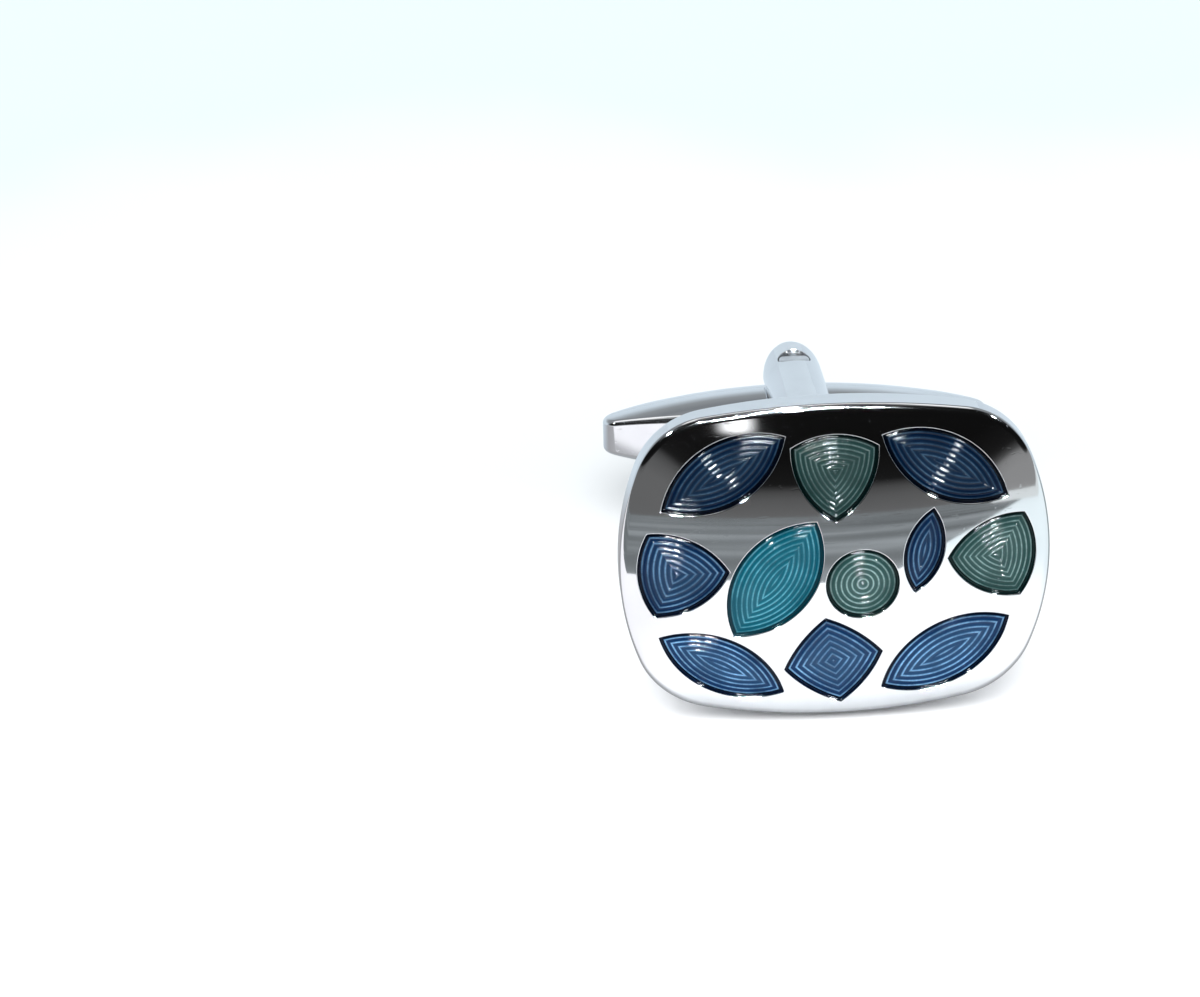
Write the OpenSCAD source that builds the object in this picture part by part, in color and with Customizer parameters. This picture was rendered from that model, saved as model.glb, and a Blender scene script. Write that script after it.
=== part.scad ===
// Cufflink with a domed, enamelled head, a forked post and a swivelling toggle bar.
// It lies as it does on a table: on the head's lower back edge and the end of the fork's lower arm.
// The post runs towards +Y and slopes down, the head's front faces -Y, and Z = 0 is the table.
// Each module is drawn with the post along +Y, from the head's back at Y = 0, and then laid down.

/* [Head] */
// Width of the head
head_w = 20; // [17:0.5:23]
// Height of the head
head_h = 15.5; // [13.5:0.5:18]
// Radius of the head's four corners
head_corner_r = 4; // [3.4:0.1:4.6]
// How far the short sides bow out past the corners
side_bow = 0.6; // [0.4:0.05:0.9]
// How far the long sides bow out past the corners
long_bow = 0.45; // [0.3:0.05:0.7]
// Thickness of the head at the middle of each side
head_wall = 1.6; // [1.3:0.1:2.2]
// How much thicker the head is at its centre
dome_rise = 1; // [0.7:0.1:1.4]

/* [Enamel] */
// Depth of the enamel cells under the metal face
cell_depth = 0.5; // [0.3:0.05:0.6]
// How far the enamel lies below the metal face
enamel_sink = 0.06; // [0.02:0.01:0.12]

/* [Post] */
// Length from the head's back to the ends of the fork
post_l = 18.5; // [17:0.5:20]
// Diameter of the round foot on the head's back
foot_d = 3.3; // [2.8:0.1:4]
// Thickness of the foot
foot_t = 0.8; // [0.6:0.1:1.2]
// Depth of the shallow seat in the head that takes the foot
foot_seat = 0.12; // [0.08:0.02:0.2]
// Diameter of the peg that fixes the post in the head
peg_d = 1.8; // [1.4:0.1:2.2]
// Depth of the peg in the head
peg_l = 0.8; // [0.6:0.1:1]
// Diameter of the post where it flares out to the foot and to the fork
flare_d = 2.8; // [2.6:0.1:3]
// Diameter of the post at its waist
waist_d = 2.15; // [1.9:0.05:2.4]

/* [Fork] */
// Width of each half-round arm
arm_w = 3; // [2.8:0.1:3.4]
// Thickness of each arm, from its flat inside to the top of its round
arm_t = 1.6; // [1.55:0.05:1.9]
// Gap between the two arms
slot_gap = 4.5; // [4.2:0.1:5]
// Diameter of the rivet tenon that joins the fork to the post
tenon_d = 1.2; // [0.9:0.1:1.5]

/* [Toggle bar] */
// Length of the bar
bar_l = 19.5; // [18.5:0.25:20.5]
// Depth of the bar at its middle
bar_d = 4.4; // [4:0.1:4.8]
// Height of the bar's side band at its middle
band_h = 2.6; // [2.2:0.1:3]
// Height of the bar at its tips
tip_h = 1.7; // [1.4:0.1:2]
// Radius of the bar's tips, seen from above
tip_r = 0.8; // [0.6:0.05:1]
// Gap between the crown of the bar and each arm
bar_gap = 0.12; // [0.08:0.02:0.2]

/* [Pivot] */
// Distance from the ends of the arms to the pivot
pivot_setback = 2.15; // [2:0.05:2.4]
// Diameter of the pivot pin
pin_d = 1.15; // [0.95:0.05:1.3]
// Running clearance round the pin in the bar
pin_clear = 0.03; // [0.02:0.01:0.06]
// Diameter of the recess round each end of the pin
recess_d = 1.64; // [1.5:0.02:1.8]
// Depth of that recess below the top of the arm
recess_depth = 0.8; // [0.6:0.05:0.95]
// How far each end of the pin lies below the top of the arm
pin_sink = 0.25; // [0.15:0.05:0.4]
// Diameter of the dished friction washers
washer_d = 2.2; // [2:0.05:2.3]
// Thickness of the washers' steel
washer_t = 0.15; // [0.1:0.01:0.2]
// Depth of the washer pockets below the crown of the bar
pocket_depth = 0.38; // [0.3:0.02:0.5]
// Clearance round the washers
washer_clear = 0.1; // [0.05:0.01:0.15]

/* [Hidden] */
$fn = 96;
// Facets on the large domes
dome_fn = 256;
// How far cutting shapes run past what they cut
over = 1;

// Outline of the head: four wide arcs joined by four corner arcs that are tangent to them
corner_x = head_w / 2 - head_corner_r - side_bow;
corner_y = head_h / 2 - head_corner_r - long_bow;
long_r = arc_r(corner_x, head_corner_r, long_bow);
side_r = arc_r(corner_y, head_corner_r, side_bow);

// Front dome: its two radii, across and up
dome_rx = chord_r(head_w / 2, dome_rise);
dome_ry = chord_r(head_h / 2, dome_rise);
head_t = head_wall + dome_rise;

// Cells: number of arcs, place across and up, turn, reach of the corners, reach of the arcs
// Each place and reach is a share of the pattern's unit
cell_shares = [
    [2, -0.67, 0.6, 31, 0.43, 0.19],
    [3, -0.01, 0.6, 30, 0.3, 0.225],
    [2, 0.65, 0.6, -29, 0.43, 0.19],
    [3, -0.95, -0.02, 4, 0.31, 0.235],
    [2, -0.37, -0.06, 56, 0.44, 0.24],
    [1, 0.15, -0.1, 0, 0, 0.22],
    [2, 0.52, 0.09, 78, 0.27, 0.12],
    [3, 0.965, 0.02, 58, 0.305, 0.235],
    [2, -0.69, -0.63, -27, 0.42, 0.185],
    [4, -0.02, -0.61, 10, 0.3, 0.24],
    [2, 0.66, -0.6, 29, 0.44, 0.21]
];
pattern_aspect_share = 1.29;
pattern_unit = min(head_w / pattern_aspect_share, head_h) / 2;

// Fork: a half-round strap bent to a U, with its arms at +Z and -Z
bar_h = slot_gap - 2 * bar_gap;
slot_r = slot_gap / 2;
arm_top = slot_r + arm_t;
arm_r = arm_w / 2;
arm_side = arm_t - arm_r;
tip_clear = 0.45;
pivot_y = post_l - pivot_setback;
bend_y = pivot_y - bar_l / 2 - tip_clear + slot_r;
stem_l = bend_y - arm_top;

// Toggle bar: radii of its outline, of its crown along it and of its crown across it
bar_edge_r = (pow(bar_l / 2 - tip_r, 2) + pow(bar_d / 2, 2) - pow(tip_r, 2)) / (bar_d - 2 * tip_r);
crown_along_r = chord_r(bar_l / 2, (bar_h - tip_h) / 2);
crown_across_r = chord_r(bar_d / 2, (bar_h - band_h) / 2);

// Post stem: the waist is one hollow arc between the two flares
waist_y = (foot_t + stem_l) / 2;
waist_r = chord_r(stem_l - waist_y, (flare_d - waist_d) / 2);

// Chamfer on the ends of the pin
pin_chamfer = pin_d / 8;

// How the part lies: the post slopes down from the head's back edge to the lower arm's end
tilt = atan((head_h / 2 - arm_top) / post_l);
front_y = -head_t * cos(tilt) - dome_ry * (1 - cos(tilt));
rear_y = post_l * cos(tilt) + arm_top * sin(tilt);
place_y = -(front_y + rear_y) / 2;
place_z = head_h / 2 * cos(tilt);

// Radius of an arc from its half chord and its rise
function chord_r(half, rise) = (half * half + rise * rise) / (2 * rise);

// Radius of a side arc that is tangent to two corner arcs, from half the distance between them
function arc_r(half, r, bow) = (half * half + pow(r + bow, 2) - r * r) / (2 * bow);

// Place of the point where a side arc meets a corner arc, seen from the side arc's centre
function tangent_point(centre, arc, corner, r) = centre + (corner - centre) * arc / (arc - r);

// Lays the part down on the table
module lay() {
    translate([0, place_y, place_z]) rotate([-tilt, 0, 0]) children();
}

// Extrudes a shape along the post, from one place to another
module along_post(from, to) {
    translate([0, to, 0]) rotate([90, 0, 0]) linear_extrude(to - from) children();
}

// Turns a profile round the post's axis
module round_post(from = 0) {
    translate([0, from, 0]) rotate([-90, 0, 0]) rotate_extrude() children();
}

// Outline of the head, with the sharp crossings of the wide arcs cut off and rounded
module head_outline() {
    long_c = [0, head_h / 2 - long_r];
    side_c = [head_w / 2 - side_r, 0];
    corner_c = [corner_x, corner_y];
    a = tangent_point(long_c, long_r, corner_c, head_corner_r);
    b = tangent_point(side_c, side_r, corner_c, head_corner_r);
    far = [head_w / 2 + over, head_h / 2 + over];
    difference() {
        intersection_for (side = [-1, 1]) intersection() {
            translate(side * long_c) circle(r = long_r, $fn = dome_fn);
            translate(side * side_c) circle(r = side_r, $fn = dome_fn);
        }
        for (sx = [-1, 1], sy = [-1, 1])
            scale([sx, sy]) polygon([a, [a.x, far.y], far, [far.x, b.y], b]);
    }
    for (sx = [-1, 1], sy = [-1, 1])
        translate([sx * corner_x, sy * corner_y]) circle(r = head_corner_r);
}

// Solid behind the front dome, or behind a surface that lies deeper by the given depth
module dome(depth = 0) {
    translate([0, dome_rx - head_t, 0]) rotate_extrude($fn = dome_fn)
        intersection() {
            translate([dome_rx - dome_ry, 0]) circle(r = dome_ry - depth, $fn = dome_fn);
            translate([0, -dome_ry]) square([dome_rx, 2 * dome_ry]);
        }
}

// Outline of one cell: a disc, or the space that several equal discs share
module cell_outline(c) {
    arcs = c[0];
    corner = c[4] * pattern_unit;
    belly = c[5] * pattern_unit;
    half = corner * sin(180 / arcs);
    r = arcs == 1 ? belly : chord_r(half, belly - corner * cos(180 / arcs));
    translate([c[1], c[2]] * pattern_unit) intersection_for (i = [0 : arcs - 1])
        rotate(c[3] + (arcs == 2 ? 90 : 180 / arcs) + 360 / arcs * i)
            translate([belly - r, 0]) circle(r = r);
}

// Domed metal head, with a cell for each enamel and a seat and a blind hole for the post
module head() {
    color("gainsboro") lay() difference() {
        intersection() {
            along_post(-head_t - over, 0) head_outline();
            dome();
        }
        for (c = cell_shares) difference() {
            along_post(-head_t - over, 0) cell_outline(c);
            dome(cell_depth);
        }
        along_post(-foot_seat, over) circle(d = foot_d);
        along_post(-peg_l, over) circle(d = peg_d);
    }
}

// Enamel that fills one cell nearly to the metal face
module enamel(i, shade) {
    color(shade) lay() difference() {
        intersection() {
            along_post(-head_t - over, 0) cell_outline(cell_shares[i]);
            dome(enamel_sink);
        }
        dome(cell_depth);
    }
}

// Section of the fork's strap, flat on the inside and round on the outside
module strap_section() {
    translate([slot_r, 0]) intersection() {
        union() {
            translate([arm_side, 0]) circle(r = arm_r);
            translate([0, -arm_r]) square([arm_side, arm_w]);
        }
        translate([0, -arm_w]) square([arm_t + over, 2 * arm_w]);
    }
}

// The bent strap, before its holes are made
module fork_blank() {
    translate([0, bend_y, 0]) rotate([0, 90, 0]) rotate([0, 0, 180])
        rotate_extrude(angle = 180) strap_section();
    for (side = [-1, 1]) scale([1, 1, side]) intersection() {
        along_post(bend_y, post_l) rotate(90) strap_section();
        union() {
            translate([-arm_w, bend_y, 0]) cube([2 * arm_w, post_l - arm_r - bend_y, arm_top + over]);
            translate([0, post_l - arm_r, 0]) cylinder(r = arm_r, h = arm_top + over);
        }
    }
}

// Fork with its pin holes, the recesses round the pin's ends and the hole for the tenon
module fork() {
    color("silver") lay() difference() {
        fork_blank();
        translate([0, pivot_y, 0]) {
            cylinder(d = pin_d, h = 2 * (arm_top + over), center = true);
            for (side = [-1, 1]) scale([1, 1, side])
                translate([0, 0, arm_top - recess_depth]) cylinder(d = recess_d, h = recess_depth + over);
        }
        along_post(bend_y - arm_top - over, bend_y) circle(d = tenon_d);
    }
}

// Turned post: peg, foot with a round edge, waisted shaft shaped to the fork's bend, and tenon
module post_stem() {
    tenon_end = bend_y - slot_r;
    foot_edge = (foot_t + foot_seat) / 2;
    color("silver") lay() {
        difference() {
            round_post() difference() {
                square([flare_d / 2, stem_l + arm_t / 2]);
                translate([waist_d / 2 + waist_r, waist_y]) circle(r = waist_r, $fn = dome_fn);
            }
            fork_blank();
        }
        round_post(-foot_seat) {
            square([foot_d / 2 - foot_edge, 2 * foot_edge]);
            translate([foot_d / 2 - foot_edge, foot_edge]) circle(r = foot_edge);
            square([foot_d / 2, foot_seat]);
        }
        along_post(-peg_l, 0) circle(d = peg_d);
        along_post(stem_l - over, tenon_end) circle(d = tenon_d);
    }
}

// Outline of the bar seen along the pivot: two wide arcs and two round tips
module bar_outline() {
    edge_c = bar_d / 2 - bar_edge_r;
    tip_x = bar_l / 2 - tip_r;
    tangent_x = tip_x * bar_edge_r / (bar_edge_r - tip_r);
    intersection_for (side = [-1, 1]) intersection() {
        translate([0, side * edge_c]) circle(r = bar_edge_r, $fn = dome_fn);
        square([2 * tangent_x, bar_d], center = true);
    }
    for (side = [-1, 1]) translate([side * tip_x, 0]) circle(r = tip_r);
}

// Ring whose outside is the crown of the bar
module bar_crown() {
    translate([0, 0, bar_h / 2 - crown_along_r]) rotate([90, 0, 0]) rotate_extrude($fn = dome_fn)
        translate([crown_along_r - crown_across_r, 0]) circle(r = crown_across_r);
}

// Toggle bar, crowned above and below, with its bore and a pocket for each washer
module toggle_bar() {
    pocket_floor = bar_h / 2 - pocket_depth;
    color("silver") lay() translate([0, pivot_y, 0]) difference() {
        intersection() {
            linear_extrude(bar_h, center = true) bar_outline();
            bar_crown();
            scale([1, 1, -1]) bar_crown();
        }
        cylinder(r = pin_d / 2 + pin_clear, h = bar_h + over, center = true);
        for (side = [-1, 1]) scale([1, 1, side])
            translate([0, 0, pocket_floor]) cylinder(r = washer_d / 2 + washer_clear, h = pocket_depth + over);
    }
}

// Pin, pressed into both arms
module pivot_pin() {
    half = arm_top - pin_sink;
    r = pin_d / 2;
    color("darkgray") lay() translate([0, pivot_y, 0]) rotate_extrude()
        polygon([
            [0, -half], [r - pin_chamfer, -half], [r, pin_chamfer - half],
            [r, half - pin_chamfer], [r - pin_chamfer, half], [0, half]
        ]);
}

// Dished washer between the floor of a pocket and the flat inside of an arm
module friction_washer(side) {
    pocket_floor = bar_h / 2 - pocket_depth;
    top = slot_r - pin_clear - pocket_floor;
    inner_r = pin_d / 2 + 2 * pin_clear;
    color("dimgray") lay() translate([0, pivot_y, 0]) scale([1, 1, side])
        translate([0, 0, pocket_floor]) rotate_extrude()
            polygon([[inner_r, top - washer_t], [inner_r, top], [washer_d / 2, washer_t], [washer_d / 2, 0]]);
}

head();
enamel(0, "midnightblue");  // enamel_blue_upper_left
enamel(1, "seagreen");  // enamel_green_upper
enamel(2, "midnightblue");  // enamel_blue_upper_right
enamel(3, "midnightblue");  // enamel_blue_left
enamel(4, "teal");  // enamel_teal_middle
enamel(5, "seagreen");  // enamel_green_middle
enamel(6, "midnightblue");  // enamel_blue_middle
enamel(7, "seagreen");  // enamel_green_right
enamel(8, "midnightblue");  // enamel_blue_lower_left
enamel(9, "midnightblue");  // enamel_blue_lower
enamel(10, "midnightblue");  // enamel_blue_lower_right
post_stem();
fork();
toggle_bar();
pivot_pin();
friction_washer(1);  // friction_washer_upper
friction_washer(-1);  // friction_washer_lower
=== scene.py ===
"""Looks, light and camera of a cufflink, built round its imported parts.

Pieces are made in the part's own frame, in millimetres: x across the head, p along the post and u up the
head, with p = 0 on the head's back. lay() then puts them down on the table, in metres.
"""

from math import asin, atan, atan2, cos, degrees, pi, radians, sin, tan

import bpy
import numpy as np
from mathutils import Matrix, Vector, geometry


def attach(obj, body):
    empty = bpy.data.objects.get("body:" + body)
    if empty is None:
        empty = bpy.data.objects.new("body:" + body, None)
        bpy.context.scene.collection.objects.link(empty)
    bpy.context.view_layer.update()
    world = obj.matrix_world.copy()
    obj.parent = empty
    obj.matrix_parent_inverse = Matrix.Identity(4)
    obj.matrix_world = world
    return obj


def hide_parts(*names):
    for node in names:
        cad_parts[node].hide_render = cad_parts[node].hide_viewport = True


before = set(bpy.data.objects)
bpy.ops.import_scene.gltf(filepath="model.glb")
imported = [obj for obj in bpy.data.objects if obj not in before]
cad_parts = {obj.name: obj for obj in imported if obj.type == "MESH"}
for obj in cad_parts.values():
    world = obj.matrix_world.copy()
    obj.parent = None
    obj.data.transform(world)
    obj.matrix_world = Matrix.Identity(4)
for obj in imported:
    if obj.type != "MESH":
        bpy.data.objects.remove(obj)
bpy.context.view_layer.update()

MM = 0.001

# Sizes of the part, the same as in its source, in millimetres

# Head: width, height, corner radius, bow of its sides and of its top and bottom, side wall, dome and cells
HEAD_W, HEAD_H = 20, 15.5
CORNER_R, SIDE_BOW, LONG_BOW = 4, 0.6, 0.45
HEAD_WALL, DOME_RISE, CELL_DEPTH = 1.6, 1, 0.5
# Post: its length with the fork, its foot, and the flare and waist of its shaft
POST_L = 18.5
FOOT_D, FOOT_T, FOOT_SEAT = 3.3, 0.8, 0.12
FLARE_D, WAIST_D = 2.8, 2.15
# Fork: width and thickness of an arm, the slot between the arms, and the rivet at its bend
ARM_W, ARM_T, SLOT_GAP, TENON_D = 3, 1.6, 4.5, 1.2
# Bar: length, width, height of its side band, height and radius of its tips, and its gaps to the fork
BAR_L, BAR_D, BAND_H, TIP_H, TIP_R = 19.5, 4.4, 2.6, 1.7, 0.8
BAR_GAP, TIP_CLEAR = 0.12, 0.45
# Pivot: its distance from the arms' ends, the pin, its recesses, and the washers and their pockets
PIVOT_SETBACK, PIN_D, PIN_CLEAR = 2.15, 1.15, 0.03
RECESS_D, RECESS_DEPTH = 1.64, 0.8
WASHER_D, WASHER_CLEAR, POCKET_DEPTH = 2.2, 0.1, 0.38

# Cells: node, arcs, place across and up, turn in degrees, reach of the corners, reach of the arcs, and
# spacing of the ridges in millimetres. Places and reaches are in half heights of the head.
PATTERN_UNIT = HEAD_H / 2
CELLS = [
    ("enamel_blue_upper_left", 2, -0.67, 0.6, 31, 0.43, 0.19, 0.27),
    ("enamel_green_upper", 3, -0.01, 0.6, 30, 0.3, 0.225, 0.23),
    ("enamel_blue_upper_right", 2, 0.65, 0.6, -29, 0.43, 0.19, 0.27),
    ("enamel_blue_left", 3, -0.95, -0.02, 4, 0.31, 0.235, 0.27),
    ("enamel_teal_middle", 2, -0.37, -0.06, 56, 0.44, 0.24, 0.23),
    ("enamel_green_middle", 1, 0.15, -0.1, 0, 0, 0.22, 0.23),
    ("enamel_blue_middle", 2, 0.52, 0.09, 78, 0.27, 0.12, 0.25),
    ("enamel_green_right", 3, 0.965, 0.02, 58, 0.305, 0.235, 0.23),
    ("enamel_blue_lower_left", 2, -0.69, -0.63, -27, 0.42, 0.185, 0.27),
    ("enamel_blue_lower", 4, -0.02, -0.61, 10, 0.3, 0.24, 0.27),
    ("enamel_blue_lower_right", 2, 0.66, -0.6, 29, 0.44, 0.21, 0.27),
]

# Sizes that only the looks have, in millimetres

# Gap between a piece and the seat that it stands in, and the small edge of the seat
SEAT_GAP, SEAT_EDGE = 0.02, 0.01
# Head: how far its rolled rim reaches in and down, the edge of its back, and the lips of its cells
RIM_INSET, RIM_DROP, BACK_EDGE, LIP_R = 0.34, 0.2, 0.22, 0.045
# Enamel: depth of its bed, and height of its ridges, of its swell inwards and of its climb up the wall
BED, RIDGE_H, SWELL_H, CLIMB_H = 0.15, 0.05, 0.05, 0.07
# How far from the wall the swell is full, the climb ends, and the first ridge lies
SWELL_REACH, CLIMB_REACH, FIRST_RIDGE = 0.7, 0.07, 0.21
# How far the shaft runs on inside the fork, where it can't be seen, and the rivet's head in the bend: its
# edge, and how far its wall, its shoulder and its top rise
FLARE_SINK, RIVET_EDGE, RIVET_RISES = 1.15, 0.05, (0.06, 0.13, 0.14)
# Pin: its fit in the arms, and its peened ends' gaps, depth below the arm, edge and bulge
PIN_FIT, CAP_GAP, CAP_LIFT, CAP_SINK, CAP_EDGE, CAP_BULGE = 0.008, 0.04, 0.03, 0.14, 0.1, 0.05
# Fork: where an arm's end starts, before the pivot, its inner edges and the edge round its nose
ARM_END, ARM_EDGE, NOSE_EDGE = 2.2, 0.1, 0.09
# Recess: its lip, the band at the foot of its wall, and the foot's share of the recess's radius
RECESS_LIP, FOOT_BAND, FOOT_SHARE = 0.04, 0.02, 0.999
# Bar: how far its edge reaches in and down, and the lips of its pockets
BAR_INSET, BAR_DROP, POCKET_LIP = 0.26, 0.234, 0.03

# How finely curves are divided: points round a cell, seat or bore, recess, strap's outside and flat inside
CELL_POINTS, BORE_POINTS, RECESS_POINTS, STRAP_POINTS, FLAT_POINTS = 160, 72, 64, 41, 13
# Grid steps of the filled faces: the head's front and back, an arm's outside and inside, and the bar's crown
FRONT_GRID, BACK_GRID, ARM_GRID, INSIDE_GRID, CROWN_GRID = 0.32, 0.8, 0.24, 0.5, 0.36


def chord_r(half, rise):
    """Radius of an arc from its half chord and its rise."""
    return (half * half + rise * rise) / (2 * rise)


def arc_r(half, r, bow):
    """Radius of a side arc that is tangent to two corner arcs."""
    return (half * half + (r + bow) ** 2 - r * r) / (2 * bow)


HEAD_T = HEAD_WALL + DOME_RISE
DOME_RX, DOME_RY = chord_r(HEAD_W / 2, DOME_RISE), chord_r(HEAD_H / 2, DOME_RISE)
SLOT_R = SLOT_GAP / 2
ARM_TOP = SLOT_R + ARM_T
ARM_R = ARM_W / 2
ARM_SIDE = ARM_T - ARM_R
PIVOT_P = POST_L - PIVOT_SETBACK
BEND_P = PIVOT_P - BAR_L / 2 - TIP_CLEAR + SLOT_R
STEM_L = BEND_P - ARM_TOP
BAR_H = SLOT_GAP - 2 * BAR_GAP
CROWN_RX = chord_r(BAR_L / 2, (BAR_H - TIP_H) / 2)
CROWN_RY = chord_r(BAR_D / 2, (BAR_H - BAND_H) / 2)
POCKET_FLOOR = BAR_H / 2 - POCKET_DEPTH
TILT = atan((HEAD_H / 2 - ARM_TOP) / POST_L)
COS_T, SIN_T = cos(TILT), sin(TILT)
PLACE_Y = (HEAD_T * COS_T + DOME_RY * (1 - COS_T) - POST_L * COS_T - ARM_TOP * SIN_T) / 2
PLACE_Z = HEAD_H / 2 * COS_T

# Local frames: their three directions in the part's own frame
OUT_OF_FACE = [(1, 0, 0), (0, 0, 1), (0, -1, 0)]
ALONG_POST = [(1, 0, 0), (0, 0, 1), (0, 1, 0)]


def upright(side=1):
    """The part's own frame, or with side = -1 the same upside down."""
    return [(1, 0, 0), (0, 1, 0), (0, 0, side)]


# Mesh tools

# Points weld where they fall in the same cube, with this many cubes to the millimetre
WELD_GRID = 2e4
# Height of an equal-sided triangle of side 1, and how close to an edge a grid point may lie, in grid steps
ROW_STEP, EDGE_ROOM = 0.866, 0.6
# How full a rolled edge is: 0 is a plain chamfer, 1 a sharp corner
EDGE_FULLNESS = 0.6


def columns(*parts):
    """Points or directions from their coordinates, of which some may be one number for all."""
    return np.stack(np.broadcast_arrays(*parts), 1)


def turn_down(v):
    """Turns directions from the part's own frame to the way it lies."""
    x, p, u = v.T
    return columns(x, p * COS_T + u * SIN_T, u * COS_T - p * SIN_T)


def lay(points):
    """Puts points of the part's own frame down on the table, in metres."""
    return (turn_down(points) + np.array([0, PLACE_Y, PLACE_Z])) * MM


def unit(v):
    return v / np.maximum(np.linalg.norm(v, axis=-1, keepdims=True), 1e-12)


def quarter(steps):
    """Angles of a quarter turn."""
    return np.linspace(0, pi / 2, steps + 1)


def placed(name, data):
    """A new object in the scene."""
    thing = bpy.data.objects.new(name, data)
    bpy.context.scene.collection.objects.link(thing)
    return thing


class Skin:
    """A surface that is put together from rings and filled faces, with an exact normal at each point.

    axes holds the local frame's three directions, and origin its place, both in the part's own frame.
    """

    def __init__(self, axes, origin=(0, 0, 0)):
        self.co, self.no, self.faces, self.extra, self.count = [], [], [], {}, 0
        self.set_frame(axes, origin)

    def set_frame(self, axes, origin):
        self.axes, self.origin = np.array(axes, float), np.array(origin, float)

    def add(self, co, no, **extra):
        """Adds points with their normals, and gives their numbers."""
        co, no = np.atleast_2d(np.array(co, float)), np.atleast_2d(np.array(no, float))
        self.co.append(co @ self.axes + self.origin)
        self.no.append(unit(no @ self.axes))
        for name, value in extra.items():
            self.extra.setdefault(name, []).append(np.broadcast_to(value, len(co)))
        first, self.count = self.count, self.count + len(co)
        return np.arange(first, self.count)

    def chain(self, rings, closed=True):
        """Joins rings or rows of as many points, each to the next, with four-sided faces."""
        for a, b in zip(rings, rings[1:]):
            for i in range(len(a) if closed else len(a) - 1):
                j = (i + 1) % len(a)
                self.faces.append((a[i], a[j], b[j], b[i]))

    def fan(self, ring, co, no, **extra):
        """Closes a ring with triangles that meet in one point."""
        tip = self.add(co, no, **extra)[0]
        for i, v in enumerate(ring):
            self.faces.append((v, ring[(i + 1) % len(ring)], tip))

    def fill(self, loops, surface, step):
        """Fills the flat region inside the first loop and outside the others, and lifts it with surface().

        A loop is the numbers of its points and their places in the flat region. Triangles meet every point.
        """
        ids, edge = (np.concatenate(parts) for parts in zip(*loops))
        links, first = [], 0
        for loop_ids, _ in loops:
            n = len(loop_ids)
            links += [(first + i, first + (i + 1) % n) for i in range(n)]
            first += n
        low, high = edge.min(0), edge.max(0)
        columns = np.arange(low[0], high[0], step)
        rows = np.arange(low[1], high[1], step * ROW_STEP)
        grid = np.array([(x + step / 2 * (k % 2), y) for k, y in enumerate(rows) for x in columns])
        grid = grid[between(grid, loops)]
        room = np.array([np.min(np.sum((edge - place) ** 2, 1)) for place in grid])
        grid = grid[room > (EDGE_ROOM * step) ** 2]
        ids = np.concatenate([ids, self.add(*surface(grid))])
        places = [Vector(v) for v in np.concatenate([edge, grid])]
        co, _, faces, sources = geometry.delaunay_2d_cdt(places, links, [], 0, 1e-7)[:4]
        middles = np.array([np.mean([co[v][:2] for v in face], axis=0) for face in faces])
        for face, kept in zip(faces, between(middles, loops)):
            if kept:
                self.faces.append(tuple(ids[sources[v][0]] for v in face))

    def weld(self):
        """The welded points and normals, which of all points they were, and the faces, turned outwards."""
        co, no = np.concatenate(self.co), np.concatenate(self.no)
        cubes = np.round(co * WELD_GRID).astype(np.int64)
        _, keep, where = np.unique(cubes, axis=0, return_index=True, return_inverse=True)
        where = where.ravel()
        co, no = co[keep], no[keep]
        faces, seen = [], set()
        for face in self.faces:
            ring = [int(where[v]) for v in face]
            ring = [v for i, v in enumerate(ring) if v != ring[i - 1]]
            key = tuple(sorted(ring))
            if len(ring) < 3 or len(set(ring)) < len(ring) or key in seen:
                continue
            seen.add(key)
            # A triangle's fourth corner is its first one again
            a, b, c, d = co[(ring + ring)[:4]]
            outward = np.cross(c - a, d - b) @ no[ring].sum(0) >= 0
            faces.append(ring if outward else ring[::-1])
        return co, no, keep, faces

    def build(self, name, material, body, replaced):
        """Makes the piece from the welded points that have a face."""
        co, no, keep, faces = self.weld()
        used = np.unique(np.concatenate(faces))
        number = np.full(len(co), -1)
        number[used] = np.arange(len(used))
        mesh = bpy.data.meshes.new(name)
        mesh.from_pydata(lay(co[used]).tolist(), [], [number[face].tolist() for face in faces])
        mesh.polygons.foreach_set("use_smooth", np.ones(len(mesh.polygons), bool))
        for key, parts in self.extra.items():
            values = np.concatenate(parts)[keep][used].astype(np.float32)
            mesh.attributes.new(key, "FLOAT", "POINT").data.foreach_set("value", values)
        mesh.normals_split_custom_set_from_vertices(turn_down(no[used]).tolist())
        mesh.materials.append(material)
        piece = placed(name, mesh)
        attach(piece, body)
        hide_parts(replaced)


def inside(points, loop):
    """Which points lie inside a closed loop."""
    result = np.zeros(len(points), bool)
    x, y = points.T
    for (ax, ay), (bx, by) in zip(loop, np.roll(loop, -1, axis=0)):
        crosses = (ay > y) != (by > y)
        if crosses.any():
            result ^= crosses & (x < (bx - ax) * (y - ay) / (by - ay) + ax)
    return result


def between(points, loops):
    """Which points lie inside the first loop and outside the others."""
    result = inside(points, loops[0][1])
    for _, flat in loops[1:]:
        result &= ~inside(points, flat)
    return result


def ways(angle):
    """Flat directions at angles."""
    return columns(np.cos(angle), np.sin(angle))


def ring_of(r, n, centre=(0, 0)):
    """A circle's points and the directions out of it."""
    out = ways(np.linspace(0, 2 * pi, n, endpoint=False))
    return out * r + np.array(centre), out


def all_round(first):
    """Angles of a full turn from those of its first quarter, which has both ends."""
    half = np.concatenate([first[:-1], pi - first[:0:-1]])
    return np.concatenate([half, pi + half])


def folded(angle):
    """Angles brought into the first quarter, and the signs that bring them back."""
    way = ways(angle)
    across, up = np.abs(way).T
    return np.arctan2(up, across), np.sign(np.round(way, 12))


def level(flat, height):
    """Points of a flat region at a height, or its directions with a rise of their own."""
    return columns(*flat.T, height)


def underside(place):
    """The flat face at height 0 that looks down, and its normal."""
    return level(place, 0), level(0 * place, -1)


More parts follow.
